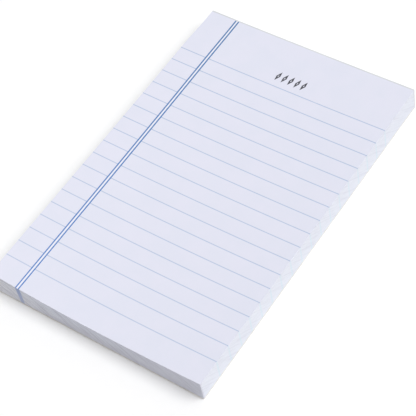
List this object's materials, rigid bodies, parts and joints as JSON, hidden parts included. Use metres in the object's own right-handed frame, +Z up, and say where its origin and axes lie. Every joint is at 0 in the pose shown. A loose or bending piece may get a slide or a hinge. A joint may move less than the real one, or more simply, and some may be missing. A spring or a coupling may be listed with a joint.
{
  "type": "ruled note pad",
  "caption": "Small glued note pad: a thick block of ruled loose sheets with a double margin line on a card back, held by a glue film along the head.",
  "frame": {"origin": "middle of the whole pad's underside, on the surface that it lies on", "axes": "+X to the right across the page, +Y towards the glued head of the page, +Z up out of the page"},
  "size_m": [0.0888, 0.1396, 0.0101],
  "materials": {
    "paper": "matt white writing paper with pale blue ruled lines and two dark blue margin lines",
    "card": "matt pale grey card",
    "padding_glue": "dried flexible padding glue, satin off-white"
  },
  "bodies": {
    "root": {"sheets": "paper", "backing_board": "card", "glue_strip": "padding_glue"}
  },
  "joints": []
}
